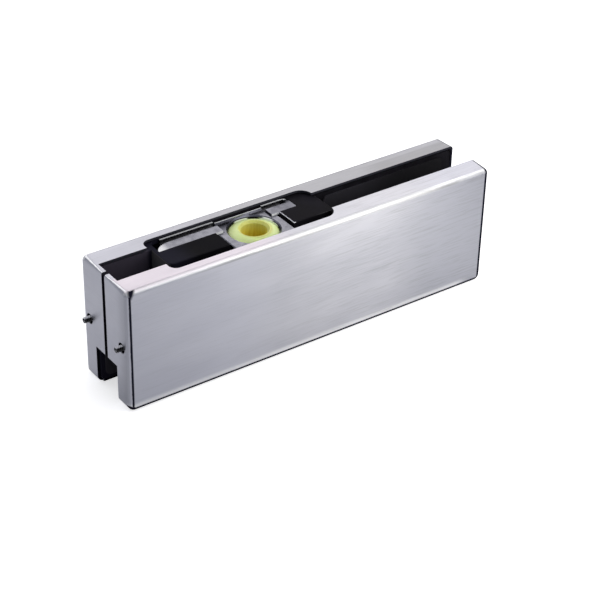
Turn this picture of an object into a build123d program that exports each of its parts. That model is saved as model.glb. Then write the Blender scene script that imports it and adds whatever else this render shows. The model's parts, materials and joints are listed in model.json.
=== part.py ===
from build123d import *
import os

# Top pivot fitting for a frameless glass door, in millimetres.
# Origin: on the pivot axis, at the middle of the bush's bore.
# +X runs from the door's pivot edge towards its free edge, +Y from the front cover to the rear cover, +Z up.
# The glass stands in the mid-plane, below the pivot and to the right of it.

# Overall sizes
cover_length = 164.0
cover_height = 51.0
fitting_depth = 32.0
pivot_from_end = 64.0
glass_thickness = 12.0

# Sheet covers
sheet = 1.0
fold_radius = 2.0
lower_corner_radius = 2.6
upper_corner_radius = 2.3
rim_corner_radius = 0.8
inner_corner_radius = 0.2
end_flange_gap = 2.0
window_flange = 4.7
window_left_margin = 2.0
window_right_margin = 1.7
window_left_radius = 3.2
window_right_radius = 5.0
notch_height = 16.0
notch_width = 15.0
cover_screw_height = 26.0
cover_screw_offset = 11.3
cover_screw_hole = 4.2

# Bush and its bore
bush_diameter = 19.2
bush_height = 18.0
bush_bore = 10.0
bush_mouth = 0.9
bush_dome_drop = 1.75
bush_dome_bulge = 0.25
bush_edge_radius = 0.3
bush_foot_chamfer = 0.4
bush_proud = 0.4
running_clearance = 0.05

# Pivot block
block_drop = 2.6
block_end_wall = 3.5
block_wall = 1.45
block_floor = 8.8
block_chamfer = 0.3
seat_chamfer = 0.7
relief_hole = 8.0
tongue_wall = 1.1
tongue_floor = 2.2
tongue_gap = 0.9
tongue_lip_width = 0.5
tongue_lip_height = 0.5

# Seat plate behind the block
plate_front = 4.1
plate_thickness = 7.8
plate_drop = 0.2
plate_left_reach = 38.3
plate_right_reach = 22.2
plate_arm_height = 15.0
plate_shoulder = 2.9
plate_corner_radius = 3.0
land_width = 4.4
land_curve_length = 7.0
groove_width = 2.6
groove_depth = 1.5
groove_end_wall = 1.7
rim_setback = 4.5
fit_gap = 0.1

# Cast clamp halves
body_drop = 1.6
body_end_gap = 0.3
body_corner_radius = 1.5
clamp_gap = 0.9
core_clearance = 0.8
core_right = 32.3
core_end_wall = 1.7
core_end_radius = 2.5
core_corner_radius = 1.5
core_edge_radius = 0.4
block_side_gap = 1.0
boss_radius = 7.0
scoop_depth = 8.0
rib_thickness = 3.0
pocket_depth = 3.6
pocket_radius = 2.5
pocket_columns = 3

# Pads between metal and glass
pad_thickness = 1.0
pad_proud = 0.6
pad_radius = 2.0
pad_margin = 1.6
side_pad_setback = 3.7
side_pad_end_margin = 5.8

# Clamp bolts
clamp_thread = 6.0
clamp_head = 10.0
clamp_head_height = 6.0
clamp_socket = 5.0
clamp_engagement = 4.6
clamp_bolt_height = 24.0

# Countersunk screws of the seat plate and the block
sunk_thread = 4.0
sunk_head = 7.6
sunk_socket = 2.5
sunk_socket_depth = 1.4
block_screw_reach = 5.5

# Set screws of the covers
set_thread = 2.5
set_length = 8.0
set_proud = 2.5
set_socket = 1.3

# Clearances and chamfers of the screws
screw_clearance = 0.25
thread_gap = 0.05
thread_run_out = 1.0
head_sink = 0.2
tip_chamfer_share = 0.1

# Faces that follow from the sizes above, from the mid-plane outwards
half_depth = fitting_depth / 2
glass_face = glass_thickness / 2
slot_face = glass_face + pad_proud
body_outer = half_depth - sheet
core_face = -(slot_face - clamp_gap)
plate_back = plate_front + plate_thickness
groove_front = plate_front + land_width
groove_back = groove_front + groove_width

# Stations along the fitting
end_left = -pivot_from_end
end_right = cover_length - pivot_from_end
body_left = end_left + sheet + body_end_gap
body_right = end_right - sheet - body_end_gap
bush_radius = bush_diameter / 2
seat_radius = bush_radius + running_clearance
bore_radius = bush_bore / 2
block_half = bush_radius + block_end_wall
pocket_half = block_half + block_side_gap
tongue_half = bush_radius + tongue_wall
stem_half = block_half + plate_shoulder
plate_left = -plate_left_reach
plate_right = plate_right_reach
core_left = plate_left - core_end_wall
window_left = core_left - window_left_margin
window_right = core_right - window_right_margin
side_pad_left = core_right + side_pad_setback
side_pad_right = end_right - side_pad_end_margin
clamp_places = {
    "left": (end_left + core_left) / 2,
    "middle": (core_left - pocket_half) / 2,
    "right": (pocket_half + core_right) / 2,
}

# Levels
bore_length = bush_height - bush_mouth - bush_foot_chamfer
bush_bottom = -bore_length / 2 - bush_foot_chamfer
bush_top = bush_bottom + bush_height
block_top = bush_top - bush_proud
block_bottom = bush_bottom - block_floor
block_front = -(bush_radius + block_wall)
tongue_back = bush_radius + block_wall
tongue_bottom = bush_bottom - tongue_floor
top = block_top + block_drop
base = top - cover_height
body_top = top - body_drop
body_bottom = base + sheet
notch_top = base + notch_height
core_bottom = notch_top + core_clearance
plate_top = body_top - plate_drop
arm_bottom = plate_top - plate_arm_height
groove_floor = plate_top - groove_depth
clamp_z = base + clamp_bolt_height
set_z = base + cover_screw_height

# Screw seats
clamp_seat = -(body_outer - clamp_head_height - head_sink)
clamp_tip = slot_face + clamp_engagement
set_tip = end_left - set_proud + set_length
sunk_face = body_outer - head_sink
plate_screw_z = (arm_bottom + groove_floor) / 2
block_screw_z = (block_bottom + tongue_bottom) / 2
block_screw_x = (relief_hole / 2 + block_half) / 2
plate_screws = {
    "left": ((plate_left - stem_half) / 2, plate_screw_z),
    "right": ((plate_right + stem_half) / 2, plate_screw_z),
}
block_screws = {
    "left": (-block_screw_x, block_screw_z),
    "right": (block_screw_x, block_screw_z),
}


def box_between(x0, x1, y0, y1, z0, z1):
    """A plain box between two corners."""
    return Pos((x0 + x1) / 2, (y0 + y1) / 2, (z0 + z1) / 2) * Box(x1 - x0, y1 - y0, z1 - z0)


def upright_slab(x0, x1, z0, z1, y0, y1, radius):
    """A plate that stands in the X-Z plane from y0 to y1, with rounded corners."""
    outline = RectangleRounded(x1 - x0, z1 - z0, radius)
    place = Plane(origin=((x0 + x1) / 2, y1, (z0 + z1) / 2), x_dir=(1, 0, 0), z_dir=(0, -1, 0))
    return extrude(place * outline, y1 - y0)


def rod(x, z, y0, y1, radius):
    """A cylinder along Y."""
    return Pos(x, (y0 + y1) / 2, z) * Rot(90, 0, 0) * Cylinder(radius, y1 - y0)


def set_screw_hole(x0, x1, radius):
    """A cylinder along X, on the axis of the rear cover's set screw."""
    return Pos((x0 + x1) / 2, cover_screw_offset, set_z) * Rot(0, 90, 0) * Cylinder(radius, x1 - x0)


def disc(z0, z1, radius, top_radius=None):
    """A cylinder or a cone on the pivot axis."""
    if top_radius is None:
        return Pos(0, 0, (z0 + z1) / 2) * Cylinder(radius, z1 - z0)
    return Pos(0, 0, (z0 + z1) / 2) * Cone(radius, top_radius, z1 - z0)


def on_side(piece, side):
    """A piece drawn for the rear (+1), or its mirror image for the front (-1)."""
    return piece if side > 0 else mirror(piece, about=Plane.XZ)


def pivot_window(z0, z1):
    """The opening round the pivot, as cut in the top flanges, with rounded corners."""
    reach = half_depth - window_flange
    window = box_between(window_left, window_right, -reach, reach, z0, z1)
    window = fillet(window.edges().filter_by(Axis.Z).group_by(Axis.X)[0], window_left_radius)
    return fillet(window.edges().filter_by(Axis.Z).group_by(Axis.X)[-1], window_right_radius)


def cover_form(inset, y0):
    """The outer form of a cover, or of the hollow inside it, that far in from the cover's outer faces.

    The upper corners are ground round at the face and run out almost sharp at the rim, y0.
    """
    width = cover_length - 2 * inset
    height = cover_height - 2 * inset
    middle_x = (end_left + end_right) / 2
    middle_z = (base + top) / 2
    lower_radius = lower_corner_radius - inset
    rim_radius = max(rim_corner_radius - inset, inner_corner_radius)
    outlines = []
    for y, upper_radius in ((y0, rim_radius), (half_depth - inset, upper_corner_radius - inset)):
        outline = Rectangle(width, height)
        outline = fillet(outline.vertices().group_by(Axis.Y)[-1], upper_radius)
        outline = fillet(outline.vertices().group_by(Axis.Y)[0], lower_radius)
        place = Plane(origin=(middle_x, y, middle_z), x_dir=(1, 0, 0), z_dir=(0, -1, 0))
        outlines.append(place * outline)
    form = loft(outlines, ruled=True)
    return fillet(form.edges().group_by(Axis.Y)[-1], fold_radius - inset)


def cover(side):
    """A folded sheet cover: a tray open towards the glass, notched at the left end and windowed on top."""
    tray = cover_form(0, end_flange_gap / 2) - cover_form(sheet, 0)
    end_flange = end_left + fold_radius
    tray -= box_between(end_flange, end_right + sheet, 0, slot_face, base - sheet, top + sheet)
    tray -= box_between(end_left - sheet, end_flange, 0, notch_width / 2, base - sheet, notch_top)
    tray -= pivot_window(top - 2 * sheet, top + sheet)
    tray -= set_screw_hole(end_left - sheet, end_left + 2 * sheet, cover_screw_hole / 2)
    return on_side(tray, side)


def side_pad():
    """The pad beside the glass edge."""
    return upright_slab(side_pad_left, side_pad_right, body_bottom + pad_margin, body_top - pad_margin,
                        glass_face, glass_face + pad_thickness, pad_radius)


def lower_pad():
    """The pad on the strip of glass below the pivot."""
    return upright_slab(body_left + pad_margin, core_right - pad_margin, body_bottom + pad_margin,
                        notch_top - pad_margin, glass_face, glass_face + pad_thickness, pad_radius)


def clamp_half():
    """What both cast halves share: slab, pad seats, the set screw's hole and the hollows between ribs."""
    half = upright_slab(body_left, body_right, body_bottom, body_top,
                        slot_face, body_outer, body_corner_radius)
    half = chamfer(half.faces().sort_by(Axis.Y)[-1].edges(), fold_radius - sheet)
    half -= side_pad()
    half -= lower_pad()
    half -= set_screw_hole(body_left, set_tip + thread_run_out, set_thread / 2 + thread_gap)
    first = core_right + rib_thickness
    pitch = (body_right - first) / pocket_columns
    for column in range(pocket_columns):
        x0 = first + column * pitch
        half -= upright_slab(x0, x0 + pitch - rib_thickness,
                             body_bottom + rib_thickness, body_top - rib_thickness,
                             body_outer - pocket_depth, body_outer, pocket_radius)
    return half


def core_block(x0, x1, outer_end, radius):
    """One side of the core beside the pivot block, as thick as the slot less the clamp gap."""
    core = box_between(x0, x1, core_face, slot_face, core_bottom, body_top)
    corner = core.edges().filter_by(Axis.Z).group_by(Axis.Y)[0].sort_by(Axis.X)[outer_end]
    core = fillet(corner, radius)
    rim = core.faces().sort_by(Axis.Z)[-1].edges()
    return fillet(rim - rim.group_by(Axis.Y)[-1], core_edge_radius)


def seat_recess():
    """The pocket in the rear body, open at the top, that takes the seat plate."""
    front = plate_front - fit_gap
    back = plate_back + fit_gap
    arms = box_between(plate_left - fit_gap, plate_right + fit_gap, front, back, arm_bottom, top)
    arms = fillet(arms.edges().filter_by(Axis.Z).group_by(Axis.Y)[-1], plate_corner_radius - fit_gap)
    return arms + box_between(-stem_half - fit_gap, stem_half + fit_gap, front, back, block_bottom, top)


def rear_body():
    """The fixed cast half, with the core that fills the corner cut out of the glass."""
    body = clamp_half()
    body += core_block(core_left, -pocket_half, 0, core_end_radius)
    body += core_block(pocket_half, core_right, -1, core_corner_radius)
    body += box_between(-pocket_half, pocket_half, core_face, slot_face, core_bottom, block_bottom)
    body += rod(clamp_places["left"], clamp_z, core_face, slot_face, boss_radius)
    body -= seat_recess()
    body -= box_between(-pocket_half, pocket_half, core_face, plate_front, block_bottom, top)
    body -= box_between(-tongue_half - fit_gap, tongue_half + fit_gap, plate_front, tongue_back + tongue_gap,
                        tongue_bottom, top)
    for x in clamp_places.values():
        body -= rod(x, clamp_z, core_face, slot_face, clamp_thread / 2 + screw_clearance)
        body -= rod(x, clamp_z, slot_face, clamp_tip + thread_run_out, clamp_thread / 2 + thread_gap)
    for x, z in [*plate_screws.values(), *block_screws.values()]:
        body -= rod(x, z, plate_front, body_outer, sunk_thread / 2 + screw_clearance)
        body -= Pos(x, 0, z) * countersink()
    return body


def countersink():
    """The conical seat of a countersunk screw in the rear body's outer side, on the Y axis."""
    depth = (sunk_head - sunk_thread) / 2
    cone = Cone(sunk_thread / 2 + screw_clearance, sunk_head / 2 + screw_clearance, depth)
    mouth = Cylinder(sunk_head / 2 + screw_clearance, head_sink)
    turn = Rot(-90, 0, 0)
    seat = Pos(0, sunk_face - depth / 2, 0) * turn * cone
    return seat + Pos(0, sunk_face + head_sink / 2, 0) * turn * mouth


def front_body():
    """The loose cast half, hollowed for the pivot block and scooped along the window."""
    body = on_side(clamp_half(), -1)
    body -= box_between(-pocket_half, pocket_half, block_front - fit_gap, -slot_face, block_bottom, top)
    body -= pivot_window(top - scoop_depth, top)
    for x in clamp_places.values():
        body -= rod(x, clamp_z, -body_outer, -slot_face, clamp_thread / 2 + screw_clearance)
        body -= rod(x, clamp_z, -body_outer, clamp_seat, clamp_head / 2 + screw_clearance)
    return body


def land_outline():
    """The raised front strip of the seat plate's top, with its left end swept back in a quarter ellipse."""
    centre = (plate_left + land_curve_length, plate_front)
    with BuildSketch() as outline:
        with BuildLine():
            EllipticalCenterArc(centre, land_curve_length, land_width, start_angle=90, arc_size=90)
            Polyline((plate_left, plate_front), (plate_right, plate_front), (plate_right, groove_front),
                     (centre[0], groove_front))
        make_face()
    return outline.sketch


def seat_plate():
    """The plated plate behind the block: two arms, a stem, a fork for the tongue and a groove on top."""
    arms = box_between(plate_left, plate_right, plate_front, plate_back, arm_bottom, plate_top)
    arms = fillet(arms.edges().filter_by(Axis.Z).group_by(Axis.Y)[-1], plate_corner_radius)
    raised = Pos(0, 0, groove_floor) * extrude(land_outline(), groove_depth)
    raised += box_between(plate_left + rim_setback, plate_right, groove_back, plate_back,
                          groove_floor, plate_top)
    raised += box_between(plate_right - groove_end_wall, plate_right, plate_front, plate_back,
                          groove_floor, plate_top)
    plate = arms - box_between(plate_left, plate_right, plate_front, plate_back, groove_floor, plate_top)
    plate += arms & raised
    plate += box_between(-stem_half, stem_half, plate_front, plate_back, block_bottom, arm_bottom)
    plate -= box_between(-tongue_half - fit_gap, tongue_half + fit_gap, plate_front, plate_back,
                         tongue_bottom, top)
    for x, z in plate_screws.values():
        plate -= rod(x, z, plate_front, plate_back, sunk_thread / 2 + thread_gap)
    for x, z in block_screws.values():
        plate -= rod(x, z, plate_front, plate_back, sunk_thread / 2 + screw_clearance)
    return plate


def pivot_block():
    """The plated block that carries the bush, with a lipped tongue that sits in the plate's fork."""
    block = box_between(-block_half, block_half, block_front, plate_front, block_bottom, block_top)
    block += box_between(-tongue_half, tongue_half, plate_front, tongue_back, tongue_bottom, block_top)
    block = chamfer(block.faces().sort_by(Axis.Z)[-1].edges(), block_chamfer)
    block += box_between(block_chamfer - tongue_half, tongue_half - block_chamfer,
                         tongue_back - tongue_lip_width, tongue_back,
                         block_top - block_chamfer, block_top + tongue_lip_height)
    block -= disc(bush_bottom, block_top, seat_radius)
    block -= disc(block_top - seat_chamfer, block_top, seat_radius, seat_radius + seat_chamfer)
    block -= disc(block_bottom, bush_bottom, relief_hole / 2)
    for x, z in block_screws.values():
        block -= rod(x, z, plate_front - block_screw_reach, plate_front, sunk_thread / 2 + thread_gap)
    return block


def pivot_bush():
    """The nylon bush: a sleeve with a domed rim, which falls outwards, and a flared mouth for the pin."""
    foot = bush_bottom + bush_foot_chamfer
    with BuildSketch() as profile:
        with BuildLine():
            dome = SagittaArc((bore_radius + bush_mouth, bush_top), (bush_radius, bush_top - bush_dome_drop),
                              bush_dome_bulge)
            Polyline(dome @ 1, (bush_radius, foot), (bush_radius - bush_foot_chamfer, bush_bottom),
                     (bore_radius + bush_foot_chamfer, bush_bottom), (bore_radius, foot),
                     (bore_radius, bush_top - bush_mouth), dome @ 0)
        make_face()
        crest = profile.vertices().sort_by(Axis.Y)[-1]
        edge = profile.vertices().group_by(Axis.X)[-1].sort_by(Axis.Y)[-1]
        fillet((crest, edge), bush_edge_radius)
    return revolve(Plane.XZ * profile.sketch, Axis.Z)


def hexagon(across_flats, depth):
    """A hexagon socket, cut upwards from the X-Y plane."""
    return extrude(RegularPolygon(across_flats / 2, 6, major_radius=False), depth)


def clamp_bolt(x):
    """A socket head bolt, put in from the front, that pulls the two halves together."""
    length = clamp_tip - clamp_seat
    head = Pos(0, 0, -clamp_head_height / 2) * Cylinder(clamp_head / 2, clamp_head_height)
    head = chamfer(head.edges().group_by(Axis.Z)[0], clamp_thread * tip_chamfer_share)
    shank = Pos(0, 0, length / 2) * Cylinder(clamp_thread / 2, length)
    bolt = head + chamfer(shank.edges().group_by(Axis.Z)[-1], clamp_thread * tip_chamfer_share)
    bolt -= Pos(0, 0, -clamp_head_height) * hexagon(clamp_socket, clamp_head_height / 2)
    return Pos(x, clamp_seat, clamp_z) * Rot(-90, 0, 0) * bolt


def sunk_screw(place, tip):
    """A countersunk socket screw, put in from the rear body's outer side, with its tip at the given Y."""
    length = sunk_face - tip
    head_height = (sunk_head - sunk_thread) / 2
    screw = Pos(0, 0, length / 2) * Cylinder(sunk_thread / 2, length)
    screw = chamfer(screw.edges().group_by(Axis.Z)[-1], sunk_thread * tip_chamfer_share)
    screw += Pos(0, 0, head_height / 2) * Cone(sunk_head / 2, sunk_thread / 2, head_height)
    screw -= hexagon(sunk_socket, sunk_socket_depth)
    return Pos(place[0], sunk_face, place[1]) * Rot(90, 0, 0) * screw


def set_screw(side):
    """The set screw in a cover's left end, shown standing out as in the photo."""
    screw = Pos(0, 0, set_length / 2) * Cylinder(set_thread / 2, set_length)
    screw = chamfer(screw.edges().filter_by(GeomType.CIRCLE), set_thread * tip_chamfer_share)
    screw -= hexagon(set_socket, set_thread / 2)
    return Pos(end_left - set_proud, side * cover_screw_offset, set_z) * Rot(0, 90, 0) * screw


def fitting():
    """Every piece by name."""
    pieces = {
        "rear_body": rear_body(),
        "front_body": front_body(),
        "seat_plate": seat_plate(),
        "pivot_block": pivot_block(),
        "pivot_bush": pivot_bush(),
    }
    for end, side in (("front", -1), ("rear", 1)):
        pieces[end + "_cover"] = cover(side)
        pieces[end + "_cover_screw"] = set_screw(side)
        pieces[end + "_side_pad"] = on_side(side_pad(), side)
        pieces[end + "_lower_pad"] = on_side(lower_pad(), side)
    for name, x in clamp_places.items():
        pieces["clamp_bolt_" + name] = clamp_bolt(x)
    for name, place in plate_screws.items():
        pieces["plate_screw_" + name] = sunk_screw(place, plate_front)
    for name, place in block_screws.items():
        pieces["block_screw_" + name] = sunk_screw(place, plate_front - block_screw_reach)
    return pieces


os.makedirs("parts", exist_ok=True)
for node, piece in fitting().items():
    export_step(piece, f"parts/{node}.step")
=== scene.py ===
"""Looks of the top pivot fitting: materials, screw threads, floor, lights and camera.

The frame is the CAD model's: the origin on the pivot axis, +X towards the door's free edge, +Y from the
front cover to the rear cover, +Z up. Lengths are in metres, but in millimetres inside the materials and
where a name ends in _mm or _MM.
"""

import json
import math

import bmesh
import bpy
from mathutils import Matrix, Vector


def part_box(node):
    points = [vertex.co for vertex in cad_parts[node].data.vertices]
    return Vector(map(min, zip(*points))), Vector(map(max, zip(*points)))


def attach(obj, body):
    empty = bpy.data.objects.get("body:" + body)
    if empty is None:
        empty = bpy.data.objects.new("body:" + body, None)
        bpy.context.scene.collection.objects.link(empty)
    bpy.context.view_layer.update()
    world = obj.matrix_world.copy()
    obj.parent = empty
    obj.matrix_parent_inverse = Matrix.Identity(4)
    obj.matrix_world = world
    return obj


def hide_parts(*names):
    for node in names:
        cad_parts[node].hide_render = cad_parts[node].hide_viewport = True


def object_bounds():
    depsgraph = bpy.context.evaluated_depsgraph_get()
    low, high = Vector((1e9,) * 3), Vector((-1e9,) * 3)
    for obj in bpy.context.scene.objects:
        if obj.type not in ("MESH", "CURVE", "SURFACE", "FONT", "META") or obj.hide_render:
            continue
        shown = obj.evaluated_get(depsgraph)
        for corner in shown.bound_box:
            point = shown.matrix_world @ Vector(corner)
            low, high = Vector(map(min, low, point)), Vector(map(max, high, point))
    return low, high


MM = 0.001

# Camera, fitted to the photograph's edges; its angles are in degrees
CAMERA_AT_MM = (-315.08, -463.98, 343.08)
CAMERA_AZIMUTH = -35.976
CAMERA_ELEVATION = 33.069
CAMERA_ROLL = 1.350
CAMERA_FOCAL_PX = 1766.99
CAMERA_CLIP = (0.01, 20.0)
PHOTO_SIZE_PX = 600.0
SENSOR_MM = 36.0

# Light and floor
WHITE = (1.0, 1.0, 1.0)
LAMP_WARM = (1.0, 0.965, 0.93)
LAMP_CREAM = (1.0, 0.985, 0.93)
SKY = (0.9, 0.92, 1.0)
SKY_STRENGTH = 0.42
FLOOR = (0.90, 0.90, 0.90)
FLOOR_HALF_WIDTH = 3.0
FLOOR_SQUARES = 8
FLOOR_GLOW_SEEN = 0.60
FLOOR_GLOW_MIRRORED = 0.08

# Colours of the sheet, linear as all of them
STEEL = (0.54, 0.54, 0.58)
STEEL_DARK = (0.40, 0.405, 0.45)
# Painted cool tint, for the parts of the sheet that the warm key light doesn't reach
STEEL_COOL_TINT = (0.50, 0.51, 0.585)
# Painted highlights on the bends, the left end's top fold and the face's bottom edge
STEEL_BEND_HIGHLIGHT = (0.58, 0.58, 0.59)
STEEL_HIGHLIGHT = (0.88, 0.88, 0.89)
# Darker steel for scratches, and painted shade on the rear top flange and the lower bends
STEEL_SCRATCH_AND_SHADE = (0.26, 0.26, 0.27)
STEEL_SHADED = (0.235, 0.24, 0.275)
# Painted pinkish reflection on the front top flange
STEEL_PINK_REFLECTION = (0.68, 0.595, 0.64)
# Painted dark reflection and shade round the faces, and painted shade on the sawn edges
STEEL_PAINTED_SHADE = (0.010, 0.010, 0.020)

# Colours of the castings' paint
CAST_BLACK = (0.009, 0.0082, 0.0105)
CAST_GREY = (0.015, 0.014, 0.018)
# Painted shade on the casting's left part
CAST_DARK = (0.004, 0.004, 0.005)
# Painted light on the casting's upper left end
CAST_LIT_END = (0.060, 0.052, 0.070)
# Painted bluish reflection towards the casting's left end
CAST_BLUE_REFLECTION = (0.015, 0.0145, 0.024)
# Painted highlights on the upper edges and the core's left end face
CAST_HIGHLIGHT = (0.09, 0.088, 0.09)
# A painted glint on the right core's left top edge
CAST_GLINT = (0.75, 0.75, 0.80)

# Colours of the plated plate and block
ZINC = (0.182, 0.184, 0.214)
ZINC_DULL = (0.145, 0.147, 0.173)
ZINC_SHADED = (0.06, 0.06, 0.078)
# Painted highlights
ZINC_HIGHLIGHT = (0.96, 0.97, 0.98)
# Painted shade in the groove and on the seat's wall
GROOVE_SHADE = (0.012, 0.012, 0.014)
# Painted reflection on the groove's back wall
GROOVE_WALL_REFLECTION = (0.42, 0.42, 0.45)

# Colours of the bush
NYLON = (0.83, 0.97, 0.43)
NYLON_PALE = (0.78, 0.93, 0.38)
NYLON_SHADED = (0.56, 0.66, 0.24)
# Painted amber colour and painted shade inside the bore
NYLON_BORE = (0.82, 0.64, 0.045)
NYLON_AMBER = (0.96, 0.82, 0.11)
NYLON_DEEP = (0.20, 0.15, 0.010)

# Colours of the pads and screws
RUBBER = (0.009, 0.0085, 0.010)
RUBBER_FIBRE = (0.014, 0.013, 0.016)
# Painted light on the pads away from the free end
RUBBER_LIT = (0.032, 0.030, 0.037)
# Bright steel; on the upper sides it is matt, as a painted white highlight
SCREW_STEEL = (0.95, 0.95, 0.98)
# Dark steel for blotches, and the painted shade in the thread roots and on the undersides
SCREW_ROOT = (0.005, 0.005, 0.006)
OXIDE_STEEL = (0.03, 0.03, 0.032)
OXIDE_SHEEN = (0.0405, 0.0405, 0.0432)

# Threads of the covers' set screws
THREAD_PITCH_MM = 0.7
THREAD_DEPTH_MM = 0.30
SCREW_CHAMFER_MM = 0.25
SOCKET_FLATS_MM = 1.3
SOCKET_DEPTH_MM = 1.25
SCREW_SIDES = 36
RINGS_PER_TURN = 8
SHARP_EDGE = math.radians(35)

# Painted shade in those threads: it fades out between these radii, and starts between these places behind the
# tip
ROOT_SHADE_RADII_MM = (1.05, 1.22)
ROOT_SHADE_START_MM = (0.25, 0.45)

# Values between which a noise takes a surface from one colour to another, and from smooth to rough
NOISE_BLEND = (0.35, 0.65)
NOISE_REACH = (0.3, 0.7)

# Places on the model that the masks go by: where a mask starts and is full, then where it fades and ends
COVER_FACE_Y_MM = (13.4, 13.8)
COVER_FREE_END_X_MM = (97.7, 97.9)
TOP_FLANGE_Z_MM = (9.0, 9.2)
ROUND_CUT_OUT_X_MM = (-61.6, -61.2, 60.0, 62.0)
UPPER_CASTING_Z_MM = (-10.0, -3.0)
LAND_Z_MM = (9.2, 9.4)
GROOVE_FLOOR_Z_MM = (8.3, 8.5)
GROOVE_BACK_Y_MM = (10.5, 10.6)
SEAT_WALL_RADIUS_MM = (9.8, 9.9)
SEAT_RIM_RADIUS_MM = (9.6, 9.7, 10.0, 10.1)
BORE_MOUTH_RADIUS_MM = (5.8, 7.0)


class Nodes:
    """Adds nodes to one new material and wires them."""

    def __init__(self, name):
        self.material = bpy.data.materials.new(name)
        self.material.use_nodes = True
        self.tree = self.material.node_tree
        self.tree.nodes.clear()
        self.output = self.add("ShaderNodeOutputMaterial")

    def add(self, kind, **settings):
        """A new node with its settings."""
        node = self.tree.nodes.new(kind)
        for key, value in settings.items():
            setattr(node, key, value)
        return node

    def wire(self, source, target):
        """Links an output to an input."""
        self.tree.links.new(source, target)

    def put(self, socket, value):
        """Wires value to the socket if it is an output, and stores it there if it isn't."""
        if isinstance(value, bpy.types.NodeSocket):
            self.wire(value, socket)
        elif isinstance(value, tuple) and socket.type == "RGBA":
            socket.default_value = (*value, 1.0)
        else:
            socket.default_value = value

    def maths(self, operation, a, b=0.0):
        """One sum on one or two values."""
        node = self.add("ShaderNodeMath", operation=operation)
        self.put(node.inputs[0], a)
        self.put(node.inputs[1], b)
        return node.outputs[0]


class Paint(Nodes):
    """The nodes of a piece's surface, with its place and its normal in the piece's own axes.

    A mask is a value from 0 to 1 that says where a coat lies. A mask by place goes by millimetres, and one by
    direction by the normal's parts, from -1 to 1.
    """

    def __init__(self, name):
        super().__init__(name)
        coordinates = self.add("ShaderNodeTexCoord")
        self.place = self.stretch(coordinates.outputs["Object"], (1 / MM, 1 / MM, 1 / MM))
        self.x, self.y, self.z = self.split(self.place)
        self.nx, self.ny, self.nz = self.split(coordinates.outputs["Normal"])

    def split(self, vector):
        """The three parts of a vector."""
        node = self.add("ShaderNodeSeparateXYZ")
        self.wire(vector, node.inputs[0])
        return node.outputs

    def join(self, x, y, z):
        """A vector of three parts."""
        node = self.add("ShaderNodeCombineXYZ")
        for socket, value in zip(node.inputs, (x, y, z)):
            self.put(socket, value)
        return node.outputs[0]

    def stretch(self, vector, scale):
        """A vector with each part scaled by its own number."""
        node = self.add("ShaderNodeVectorMath", operation="MULTIPLY")
        self.wire(vector, node.inputs[0])
        node.inputs[1].default_value = scale
        return node.outputs["Vector"]

    def product(self, first, *others):
        """All values multiplied."""
        for other in others:
            first = self.maths("MULTIPLY", first, other)
        return first

    def strongest(self, first, *others):
        """The largest of the values."""
        for other in others:
            first = self.maths("MAXIMUM", first, other)
        return first

    def inverted(self, mask):
        """1 where the mask is 0, and 0 where it is 1."""
        return self.maths("SUBTRACT", 1.0, mask)

    def radius(self, a, b):
        """The length of two parts at right angles."""
        return self.maths("SQRT", self.maths("ADD", self.product(a, a), self.product(b, b)))

    def slanted(self, a, a_share, b, b_share):
        """A place along a slanting direction: a share of one value and a share of another, added."""
        return self.maths("ADD", self.product(a, a_share), self.product(b, b_share))

    def distance(self, value, centre):
        """How far a value is from a centre."""
        return self.maths("ABSOLUTE", self.maths("SUBTRACT", value, centre))

    def remap(self, value, low, high, at_low, at_high):
        """at_low below low, at_high above high, and smooth between them."""
        node = self.add("ShaderNodeMapRange", interpolation_type="SMOOTHSTEP")
        self.put(node.inputs["Value"], value)
        for key, number in (("From Min", low), ("From Max", high), ("To Min", at_low), ("To Max", at_high)):
            node.inputs[key].default_value = number
        return node.outputs["Result"]

    def rise(self, value, low, high, top=1.0):
        """A mask that is 0 below low and top above high."""
        return self.remap(value, low, high, 0.0, top)

    def fall(self, value, low, high, top=1.0):
        """A mask that is top below low and 0 above high."""
        return self.remap(value, low, high, top, 0.0)

    def band(self, value, start, full, fading, end):
        """A mask that is 1 from full to fading, and 0 below start and above end."""
        return self.product(self.rise(value, start, full), self.fall(value, fading, end))

    def facing(self, part):
        """A mask of the flat sides along an axis, from the normal's part along it."""
        return self.rise(self.maths("ABSOLUTE", part), 0.6, 0.8)

    def noise(self, vector, scale, detail, roughness):
        """A cloudy noise of about 0.3 to 0.7; its scale is one number, or three for streaks."""
        node = self.add("ShaderNodeTexNoise")
        if isinstance(scale, tuple):
            vector = self.stretch(vector, scale)
            scale = 1.0
        self.wire(vector, node.inputs["Vector"])
        for key, number in (("Scale", scale), ("Detail", detail), ("Roughness", roughness)):
            node.inputs[key].default_value = number
        return node.outputs["Fac"]

    def mix(self, factor, a, b):
        """From colour a at 0 to colour b at 1."""
        node = self.add("ShaderNodeMix", data_type="RGBA")
        self.put(node.inputs["Factor"], factor)
        at_0, at_1, mixed = [socket for socket in (*node.inputs, *node.outputs) if socket.type == "RGBA"]
        self.put(at_0, a)
        self.put(at_1, b)
        return mixed

    def coats(self, colour, *coats):
        """Lays coats over a colour, each of them a pair of its mask and its colour."""
        for mask, coat in coats:
            colour = self.mix(mask, colour, coat)
        return colour

    def bump(self, height, strength, distance_mm):
        """A normal bumped by a height."""
        node = self.add("ShaderNodeBump")
        node.inputs["Strength"].default_value = strength
        node.inputs["Distance"].default_value = distance_mm * MM
        self.wire(height, node.inputs["Height"])
        return node.outputs["Normal"]

    def surface(self, **sockets):
        """A Principled surface, with its sockets given by their names in lower case."""
        shader = self.add("ShaderNodeBsdfPrincipled")
        names = {socket.name.lower().replace(" ", "_"): socket for socket in shader.inputs}
        for key, value in sockets.items():
            self.put(names[key], value)
        self.wire(shader.outputs[0], self.output.inputs["Surface"])
        return self.material


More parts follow.
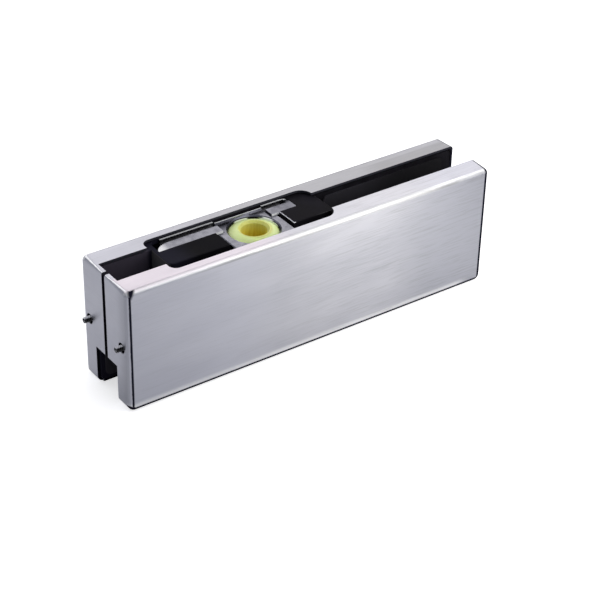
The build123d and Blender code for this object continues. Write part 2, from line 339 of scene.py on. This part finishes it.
def painted_fold_shade(n, outside):
    """Painted dark reflection and shade round a cover's face: at its folds, its left corner and its free
    edge.
    """
    to_left = n.product(n.nx, -1.0)
    to_right = n.strongest(n.nx, 0.0)
    downwards = n.strongest(n.product(n.nz, -1.0), 0.0)
    below_top = n.fall(n.nz, 0.1, 0.3)

    left_fold = n.product(n.band(to_left, 0.08, 0.20, 0.42, 0.54), below_top)
    right_and_lower_fold = n.band(n.radius(to_right, downwards), 0.06, 0.15, 0.85, 0.95)
    free_edge = n.product(n.rise(n.x, *COVER_FREE_END_X_MM), n.fall(n.maths("ABSOLUTE", n.nx), 0.85, 0.95),
                          n.fall(n.nz, 0.2, 0.4))

    # The upper left corner's line widens upwards, from a half width of 0.2 mm to one of 1.05 mm
    aside = n.distance(n.slanted(n.x, 0.81, n.y, -0.59), -40.95)
    past_line = n.maths("SUBTRACT", aside, n.remap(n.z, 8.4, 11.0, 0.2, 1.05))
    corner = n.product(n.fall(past_line, -0.6, 0.6), n.rise(n.z, 8.0, 8.8), n.fall(n.nz, 0.93, 0.985),
                       n.fall(n.x, -60.0, -59.0), n.fall(n.y, -14.1, -13.9))

    round_face = n.product(n.strongest(right_and_lower_fold, free_edge, left_fold, corner), outside)
    front_end_bend = n.product(n.band(n.nx, 0.08, 0.20, 0.75, 0.85), n.fall(n.y, -6.0, -5.0))
    return n.strongest(round_face, front_end_bend)


def sawn_edges(n, inside):
    """The sawn edges that face the slot, and the edge of the cut-out round the pivot; they are rougher and
    carry painted shade.
    """
    towards_slot = n.product(n.rise(n.maths("ABSOLUTE", n.ny), 0.85, 0.95), inside)
    cut_out = n.product(n.fall(n.maths("ABSOLUTE", n.nz), 0.1, 0.3), n.rise(n.z, *TOP_FLANGE_Z_MM),
                        n.band(n.x, *ROUND_CUT_OUT_X_MM), inside)
    return n.strongest(towards_slot, cut_out)


def brushed_sheet():
    """Stainless sheet brushed along its length; the grain turns with the sheet at the end flanges.

    Painted highlights lie along the top bends, the left end's top fold and the face's bottom edge, and
    painted dark reflection and shade round the rest of the face; the sawn edges inside the fitting are
    rougher and carry painted shade.
    """
    n = Paint("brushed_sheet")
    on_top = n.facing(n.nz)
    on_end = n.facing(n.nx)
    outside = n.rise(n.maths("ABSOLUTE", n.y), *COVER_FACE_Y_MM)
    inside = n.inverted(outside)
    on_face = n.product(outside, n.fall(n.nz, 0.1, 0.3))
    middle = n.band(n.x, -22.0, 8.0, 60.0, 82.0)

    # Grain
    sheet_place = n.join(n.maths("ADD", n.x, n.y), n.product(n.y, n.inverted(on_end)), n.z)
    hair = n.noise(sheet_place, (0.04, 7.0, 7.0), detail=2.0, roughness=0.6)
    streak = n.noise(sheet_place, (0.05, 2.0, 2.0), detail=4.0, roughness=0.65)
    cloud = n.noise(sheet_place, (0.02, 0.06, 0.06), detail=2.0, roughness=0.5)
    scratch = n.noise(sheet_place, (0.09, 2.6, 2.6), detail=3.0, roughness=0.6)
    tone = n.rise(n.slanted(hair, 0.4, streak, 0.6), 0.36, 0.64)
    scratched = n.product(n.rise(scratch, 0.46, 0.70, top=0.35), n.remap(n.x, -10.0, 60.0, 0.35, 1.0))

    # Flanges on top and at the ends
    # Painted shade: the rear top flange is darker, most of all towards the right
    shaded_rear_top = n.product(on_top, n.rise(n.y, -2.0, 2.0, top=0.6), n.remap(n.x, -60.0, 0.0, 0.2, 1.0))
    # Painted shade along the rear top flange's inner edge towards the free end
    shaded_inner_edge_top = n.product(on_top, n.rise(n.y, 6.0, 7.0, top=0.65), n.fall(n.y, 11.2, 12.6),
                           n.rise(n.x, 52.0, 68.0))
    # Painted pinkish reflection on the front top flange's left half
    pink_reflection_top = n.product(on_top, n.fall(n.y, -6.0, -4.0), n.fall(n.x, -10.0, 12.0, top=0.5))
    shaded_end = n.product(on_end, n.fall(n.y, -15.5, -8.0, top=0.5))
    # Painted highlight along the left end's top fold
    end_fold_highlight = n.product(n.band(n.product(n.nx, -1.0), 0.30, 0.40, 0.56, 0.70), n.rise(n.nz, 0.6, 0.7),
                        inside)

    # Bends and face
    # Painted highlight along the top bends, brighter away from the middle
    highlit_bend = n.product(n.band(n.nz, 0.25, 0.55, 0.93, 0.99), outside)
    # Painted shade over the lower part of the top bends
    shaded_bend = n.product(n.band(n.nz, 0.08, 0.25, 0.45, 0.72), n.band(n.x, -45.0, -10.0, 78.0, 92.0),
                          outside, 0.82)
    # Painted shade over the face's right part
    shaded_right_face = n.product(on_face, n.rise(n.x, 46.0, 74.0, top=0.75))
    # Painted highlight along the face's bottom edge
    bottom_highlight = n.product(on_face, n.fall(n.z, -37.2, -35.3, top=0.7), n.fall(n.x, 86.0, 94.0))
    # Painted dark reflection and shade round the face
    line = painted_fold_shade(n, outside)
    # The sawn edges: the added roughness is real, the darkening is painted shade
    sawn = sawn_edges(n, inside)

    base = n.mix(n.product(tone, n.remap(n.x, -30.0, 50.0, 0.55, 0.75)), STEEL_DARK, STEEL)
    colour = n.coats(base,
                     (n.remap(cloud, *NOISE_BLEND, 0.2, 0.85), STEEL),
                     # Painted cool tint away from the middle
                     (n.product(n.inverted(middle), 0.5), STEEL_COOL_TINT),
                     (shaded_rear_top, STEEL_SCRATCH_AND_SHADE),
                     (shaded_inner_edge_top, STEEL_SCRATCH_AND_SHADE),
                     (highlit_bend, n.mix(middle, STEEL_HIGHLIGHT, STEEL_BEND_HIGHLIGHT)),
                     (shaded_bend, STEEL_SCRATCH_AND_SHADE),
                     (shaded_right_face, STEEL_DARK),
                     (bottom_highlight, STEEL_HIGHLIGHT),
                     (scratched, STEEL_SCRATCH_AND_SHADE),
                     (pink_reflection_top, STEEL_PINK_REFLECTION),
                     (shaded_end, STEEL_SHADED),
                     (end_fold_highlight, STEEL_HIGHLIGHT),
                     (line, STEEL_PAINTED_SHADE),
                     (n.product(sawn, n.remap(n.z, 9.9, 10.8, 1.0, 0.93)), STEEL_PAINTED_SHADE))
    rough = n.maths("ADD", n.remap(streak, *NOISE_REACH, 0.32, 0.42), n.product(sawn, 0.3))
    return n.surface(base_color=colour, metallic=n.inverted(line), roughness=rough, specular_ior_level=0.0,
                     anisotropic=0.7, tangent=n.join(0.0, on_top, n.inverted(on_top)),
                     normal=n.bump(hair, 0.25, 0.02))


def cast_paint():
    """Satin black paint on a casting with a fine grain, painted highlights on its upper edges, painted shade
    on its left part and painted bluish light at its left end.
    """
    n = Paint("cast_body")
    grain = n.noise(n.place, 2.4, detail=4.0, roughness=0.6)
    patch = n.noise(n.place, 0.12, detail=2.0, roughness=0.5)
    upper_part = n.rise(n.z, *UPPER_CASTING_Z_MM)
    upper_edge = n.band(n.nz, 0.2, 0.5, 0.85, 0.97)

    # Painted light: the upper left end is lighter
    lit_end = n.product(n.fall(n.x, -42.5, -40.5), upper_part)
    # Painted light on the core's left end face
    core_end = n.product(n.fall(n.nx, -0.9, -0.5), n.fall(n.x, -38.0, -36.0), upper_part)
    # Painted highlights along the upper edges, mostly towards the right
    highlit_edge = n.product(upper_edge, n.remap(grain, 0.35, 0.55, 0.3, 0.8),
                          n.remap(n.x, 22.0, 30.0, 0.1, 1.0))
    # A painted glint along the right core's left top edge
    edge_glint = n.product(upper_edge, n.fall(n.distance(n.x, 14.3), 0.4, 0.8))

    colour = n.coats(n.mix(n.rise(patch, 0.35, 0.7), CAST_BLACK, CAST_GREY),
                     # Painted shade on the left part
                     (n.fall(n.x, -16.0, -8.0, top=0.6), CAST_DARK),
                     # Painted bluish reflection towards the left end
                     (n.fall(n.x, -36.0, -26.0), CAST_BLUE_REFLECTION),
                     (lit_end, CAST_LIT_END),
                     (core_end, CAST_HIGHLIGHT),
                     (highlit_edge, CAST_HIGHLIGHT),
                     (edge_glint, CAST_GLINT))
    return n.surface(base_color=colour, metallic=n.product(edge_glint, 0.8),
                     roughness=n.remap(patch, *NOISE_REACH, 0.42, 0.58), specular_ior_level=0.015,
                     normal=n.bump(grain, 0.25, 0.05))


def zinc_plate():
    """Bright zinc on machined steel with faint mill lines, painted shade in the groove and on the seat's
    wall, and painted highlights round the seat.
    """
    n = Paint("plated_steel")
    mill_lines = n.noise(n.place, (0.15, 6.0, 6.0), detail=2.0, roughness=0.5)
    blotch = n.noise(n.place, 0.45, detail=3.0, roughness=0.55)
    radius = n.radius(n.x, n.y)
    slant = n.slanted(n.x, 0.83, n.y, -0.56)

    # The bush's seat: painted shade on the plate's rear left part and the seat's wall, painted highlights on
    # the wall, rim and shoulders
    below_land = n.product(n.fall(n.x, -6.0, 2.0), n.rise(n.y, 3.0, 7.0), n.fall(n.z, 8.9, 9.2))
    seat_wall = n.product(n.fall(radius, *SEAT_WALL_RADIUS_MM), n.rise(n.z, 6.8, 7.2),
                          n.fall(n.nz, 0.2, 0.4))
    # Painted highlights on the seat's wall at either side, on its rim and at the shoulders
    highlit_wall = n.product(seat_wall, n.strongest(n.band(slant, -7.8, -7.0, -3.0, -2.0),
                                                 n.band(slant, 1.0, 3.0, 8.4, 9.2)))
    highlit_rim = n.product(n.band(radius, *SEAT_RIM_RADIUS_MM), n.rise(n.z, 8.0, 8.2), n.rise(n.y, 1.0, 3.0),
                         n.band(slant, 2.5, 4.0, 8.2, 9.0))
    shoulder = n.product(n.fall(n.ny, -0.95, -0.85), n.rise(n.z, 8.6, 8.8),
                         n.band(n.y, 3.9, 4.0, 4.2, 4.3))

    # The land of the seat plate and the groove behind it
    on_land = n.rise(n.z, *LAND_Z_MM)
    behind_groove = n.rise(n.y, *GROOVE_BACK_Y_MM)
    # Painted reflection on the groove's back wall
    groove_wall = n.product(behind_groove, n.fall(n.ny, -0.9, -0.6))
    # Painted highlight on the groove's rim
    groove_rim = n.product(behind_groove, n.rise(n.z, 9.1, 9.3), n.rise(n.nz, 0.3, 0.6))

    # All the painted highlights, which are matt white
    highlights = n.strongest(groove_rim, shoulder, highlit_wall, highlit_rim)
    colour = n.coats(n.mix(n.rise(blotch, *NOISE_BLEND), ZINC, ZINC_DULL),
                     (below_land, ZINC_SHADED),
                     (n.product(on_land, n.rise(n.x, 10.0, 16.0, top=0.45)), ZINC_SHADED),
                     # Painted highlight at the left land's tip
                     (n.product(on_land, n.fall(n.x, -37.0, -33.0, top=0.35)), ZINC_HIGHLIGHT),
                     # Painted shade on the groove's floor
                     (n.fall(n.z, *GROOVE_FLOOR_Z_MM), GROOVE_SHADE),
                     (groove_wall, GROOVE_WALL_REFLECTION),
                     # Painted shade on the seat's wall
                     (n.product(seat_wall, 0.9), GROOVE_SHADE),
                     (highlights, ZINC_HIGHLIGHT))
    rough = n.maths("ADD", n.remap(blotch, *NOISE_REACH, 0.20, 0.32), n.product(highlights, 0.3))
    return n.surface(base_color=colour, metallic=n.inverted(highlights), roughness=rough,
                     normal=n.bump(mill_lines, 0.15, 0.02))


def nylon():
    """Yellow-green nylon; inside the bore it is painted amber, with painted shade that deepens downwards."""
    n = Paint("nylon")
    mottle = n.noise(n.place, 0.8, detail=3.0, roughness=0.5)
    rubbing = n.noise(n.place, (1.6, 1.6, 0.12), detail=3.0, roughness=0.6)
    leaning_radius = n.maths("SUBTRACT", n.radius(n.x, n.y), n.slanted(n.x, 0.06, n.y, -0.05))
    in_bore = n.fall(leaning_radius, *BORE_MOUTH_RADIUS_MM)
    # Painted shade in the bore grows with depth
    deepening = n.maths("ADD", n.product(n.fall(n.z, 3.0, 10.6), 0.7), 0.3)

    bore = n.coats(n.mix(n.rise(rubbing, *NOISE_BLEND), NYLON_BORE, NYLON_AMBER),
                   # Painted shade deep in the bore
                   (n.fall(n.z, -3.0, 3.6, top=0.85), NYLON_DEEP))
    colour = n.coats(n.mix(n.rise(mottle, *NOISE_BLEND), NYLON, NYLON_PALE),
                     (n.product(in_bore, 0.85), NYLON_SHADED),
                     (n.product(in_bore, deepening), bore))
    return n.surface(base_color=colour, metallic=0.0, roughness=0.38, subsurface_weight=0.25,
                     subsurface_radius=(0.9, 1.0, 0.35), subsurface_scale=0.002,
                     normal=n.bump(mottle, 0.1, 0.05))


def rubber():
    """Matt black gasket sheet with a fine fibre grain, painted lighter away from the free end, where light
    falls in through the cut-out.
    """
    n = Paint("rubber_pad")
    fibre = n.noise(n.place, 5.0, detail=3.0, roughness=0.7)
    colour = n.coats(n.mix(n.rise(fibre, *NOISE_BLEND), RUBBER, RUBBER_FIBRE),
                     # Painted light away from the free end
                     (n.fall(n.x, 45.0, 75.0), RUBBER_LIT))
    return n.surface(base_color=colour, metallic=0.0, roughness=0.8, specular_ior_level=0.12,
                     normal=n.bump(fibre, 0.3, 0.08))


def oxide_steel():
    """Blackened steel of the bolts and screws inside, with a faint blotchy sheen."""
    n = Paint("dark_screw")
    blotch = n.noise(n.place, 1.2, detail=3.0, roughness=0.6)
    return n.surface(base_color=n.mix(n.rise(blotch, *NOISE_BLEND), OXIDE_STEEL, OXIDE_SHEEN), metallic=1.0,
                     roughness=n.remap(blotch, *NOISE_REACH, 0.3, 0.45), normal=n.bump(blotch, 0.1, 0.03))


def threaded_steel():
    """Bright steel of the set screws, which lie along local X.

    Painted shade darkens their threads from the crests to the roots and their undersides; their upper sides
    are a matt white painted highlight.
    """
    n = Paint("stainless_screw")
    blotch = n.noise(n.place, 1.2, detail=3.0, roughness=0.6)
    # Painted highlight: the upper sides are matt white
    highlit_upper_side = n.rise(n.nz, 0.60, 0.80)
    # Painted shade on the undersides
    shaded_underside = n.fall(n.nz, 0.50, 0.80, top=0.97)
    # Painted shade in the thread roots
    root_shade = n.product(n.fall(n.radius(n.y, n.z), *ROOT_SHADE_RADII_MM), n.rise(n.x, *ROOT_SHADE_START_MM),
                    n.inverted(highlit_upper_side))
    colour = n.coats(n.mix(n.rise(blotch, *NOISE_BLEND, top=0.25), SCREW_STEEL, SCREW_ROOT),
                     (n.strongest(root_shade, shaded_underside), SCREW_ROOT))
    return n.surface(base_color=colour, metallic=n.inverted(highlit_upper_side),
                     roughness=n.remap(blotch, *NOISE_REACH, 0.12, 0.22), normal=n.bump(blotch, 0.1, 0.03))


def threaded_screw(node_name, body, material):
    """A socket set screw with a real thread, in place of the plain one of the CAD model."""
    low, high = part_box(node_name)
    length = (high[0] - low[0]) / MM
    crest = (high[1] - low[1]) / MM / 2
    turns = [2 * math.pi * side / SCREW_SIDES for side in range(SCREW_SIDES)]
    bm = bmesh.new()

    def ring(x, radius_at):
        """A ring of points round the screw's axis, each as far out as radius_at says for its angle."""
        points = [(x, radius_at(turn) * math.cos(turn), radius_at(turn) * math.sin(turn)) for turn in turns]
        return [bm.verts.new(tuple(part * MM for part in point)) for point in points]

    def hexagon(turn):
        """The socket's outline."""
        return SOCKET_FLATS_MM / 2 / math.cos((turn + math.pi / 6) % (math.pi / 3) - math.pi / 6)

    def thread(x):
        """The thread's outline at a place along the screw, cut back by the chamfers at its ends."""
        limit = crest - max(0.0, SCREW_CHAMFER_MM - min(x, length - x))

        def radius_at(turn):
            phase = (x / THREAD_PITCH_MM - turn / (2 * math.pi)) % 1.0
            return min(limit, crest - THREAD_DEPTH_MM * abs(2 * phase - 1))
        return radius_at

    steps = round(length / THREAD_PITCH_MM * RINGS_PER_TURN)
    rings = [ring(SOCKET_DEPTH_MM, hexagon), ring(0.0, hexagon)]
    rings += [ring(length * step / steps, thread(length * step / steps)) for step in range(steps + 1)]
    for first, second in zip(rings, rings[1:]):
        for side in range(SCREW_SIDES):
            after = (side + 1) % SCREW_SIDES
            bm.faces.new((first[side], first[after], second[after], second[side]))
    bm.faces.new(rings[0])
    bm.faces.new(rings[-1])
    bmesh.ops.recalc_face_normals(bm, faces=bm.faces[:])
    mesh = bpy.data.meshes.new(node_name + "_threaded")
    bm.to_mesh(mesh)
    bm.free()
    mesh.shade_smooth()
    mesh.set_sharp_from_angle(angle=SHARP_EDGE)
    mesh.materials.append(material)
    screw = bpy.data.objects.new(node_name + "_threaded", mesh)
    screw.location = (low[0], (low[1] + high[1]) / 2, (low[2] + high[2]) / 2)
    bpy.context.scene.collection.objects.link(screw)
    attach(screw, body)
    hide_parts(node_name)


def dress(node, material):
    """Gives a CAD node its material."""
    node.data.materials.clear()
    node.data.materials.append(material)


def floor_surface():
    """A plain pale floor.

    Camera, glossy and transmission rays see it nearly white, and it keeps the object's shadow.
    """
    n = Nodes("floor")
    diffuse = n.add("ShaderNodeBsdfDiffuse")
    n.put(diffuse.inputs["Color"], FLOOR)
    glow = n.add("ShaderNodeEmission")
    n.put(glow.inputs["Color"], WHITE)
    path = n.add("ShaderNodeLightPath")
    mirrored = n.maths("MAXIMUM", path.outputs["Is Glossy Ray"], path.outputs["Is Transmission Ray"])
    strength = n.maths("ADD", n.maths("MULTIPLY", path.outputs["Is Camera Ray"], FLOOR_GLOW_SEEN),
                       n.maths("MULTIPLY", mirrored, FLOOR_GLOW_MIRRORED))
    n.wire(strength, glow.inputs["Strength"])
    both = n.add("ShaderNodeAddShader")
    n.wire(diffuse.outputs[0], both.inputs[0])
    n.wire(glow.outputs[0], both.inputs[1])
    n.wire(both.outputs[0], n.output.inputs["Surface"])
    return n.material


def make_floor(level):
    """A large pale floor under the fitting."""
    bm = bmesh.new()
    bmesh.ops.create_grid(bm, x_segments=FLOOR_SQUARES, y_segments=FLOOR_SQUARES, size=FLOOR_HALF_WIDTH)
    mesh = bpy.data.meshes.new("floor")
    bm.to_mesh(mesh)
    bm.free()
    floor = bpy.data.objects.new("floor", mesh)
    floor.location.z = level
    mesh.materials.append(floor_surface())
    bpy.context.scene.collection.objects.link(floor)


def make_camera():
    """The camera at the photograph's place, angle and focal length."""
    azimuth = math.radians(CAMERA_AZIMUTH)
    elevation = math.radians(CAMERA_ELEVATION)
    roll = math.radians(CAMERA_ROLL)
    back = Vector((math.sin(azimuth) * math.cos(elevation), -math.cos(azimuth) * math.cos(elevation),
                   math.sin(elevation)))
    level = (-back).cross(Vector((0, 0, 1))).normalized()
    upright = level.cross(-back)
    right = math.cos(roll) * level + math.sin(roll) * upright
    up = -math.sin(roll) * level + math.cos(roll) * upright
    data = bpy.data.cameras.new("camera")
    data.sensor_width = SENSOR_MM
    data.lens = CAMERA_FOCAL_PX / PHOTO_SIZE_PX * SENSOR_MM
    data.clip_start, data.clip_end = CAMERA_CLIP
    camera = bpy.data.objects.new("camera", data)
    place = Matrix((right, up, back)).transposed().to_4x4()
    place.translation = Vector(CAMERA_AT_MM) * MM
    camera.matrix_world = place
    bpy.context.scene.collection.objects.link(camera)
    bpy.context.scene.camera = camera


def make_lamp(name, at, aim, size, watts, colour=WHITE):
    """A rectangular soft lamp at a place, aimed at a point."""
    data = bpy.data.lights.new(name, "AREA")
    data.shape = "RECTANGLE"
    data.size, data.size_y = size
    data.energy = watts
    data.color = colour
    lamp = bpy.data.objects.new(name, data)
    lamp.location = at
    lamp.rotation_mode = "QUATERNION"
    lamp.rotation_quaternion = (Vector(aim) - Vector(at)).to_track_quat("-Z", "Y")
    bpy.context.scene.collection.objects.link(lamp)


def make_world():
    """An even, slightly cool light from all round."""
    world = bpy.data.worlds.new("world")
    world.use_nodes = True
    background = world.node_tree.nodes["Background"]
    background.inputs["Color"].default_value = (*SKY, 1.0)
    background.inputs["Strength"].default_value = SKY_STRENGTH
    bpy.context.scene.world = world


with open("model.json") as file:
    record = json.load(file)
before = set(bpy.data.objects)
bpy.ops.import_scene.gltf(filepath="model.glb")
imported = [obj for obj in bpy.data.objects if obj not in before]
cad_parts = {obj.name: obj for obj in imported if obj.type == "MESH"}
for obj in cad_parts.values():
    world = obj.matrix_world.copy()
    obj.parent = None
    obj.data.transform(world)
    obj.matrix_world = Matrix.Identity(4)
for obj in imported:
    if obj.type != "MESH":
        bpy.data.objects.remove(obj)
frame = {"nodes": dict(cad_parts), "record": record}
cad_low, cad_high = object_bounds()

finishes = {
    "brushed_sheet": brushed_sheet(),
    "cast_body": cast_paint(),
    "plated_steel": zinc_plate(),
    "nylon": nylon(),
    "rubber_pad": rubber(),
    "stainless_screw": threaded_steel(),
    "dark_screw": oxide_steel(),
}
for part in frame["record"]["subparts"]:
    dress(frame["nodes"][part["node"]], finishes[part["material_slot"]])

for cover_screw in ("front_cover_screw", "rear_cover_screw"):
    threaded_screw(cover_screw, "fitting", finishes["stainless_screw"])

make_camera()
make_floor(cad_low.z)
make_world()
make_lamp("key", at=(0.10, -0.12, 0.05), aim=(0.03, -0.02, -0.02), size=(0.08, 0.12), watts=0.12,
          colour=LAMP_CREAM)
make_lamp("strip", at=(0.40, -0.34, 0.72), aim=(0.0, 0.0, 0.0), size=(1.3, 0.5), watts=2.2)
make_lamp("rim", at=(-0.28, 0.62, 0.62), aim=(0.0, 0.0, 0.0), size=(0.4, 0.4), watts=0.8)
make_lamp("back", at=(0.36, 0.64, 0.50), aim=(0.0, 0.0, 0.0), size=(0.9, 0.6), watts=2.5, colour=LAMP_WARM)

bpy.context.scene.view_settings.view_transform = "Standard"
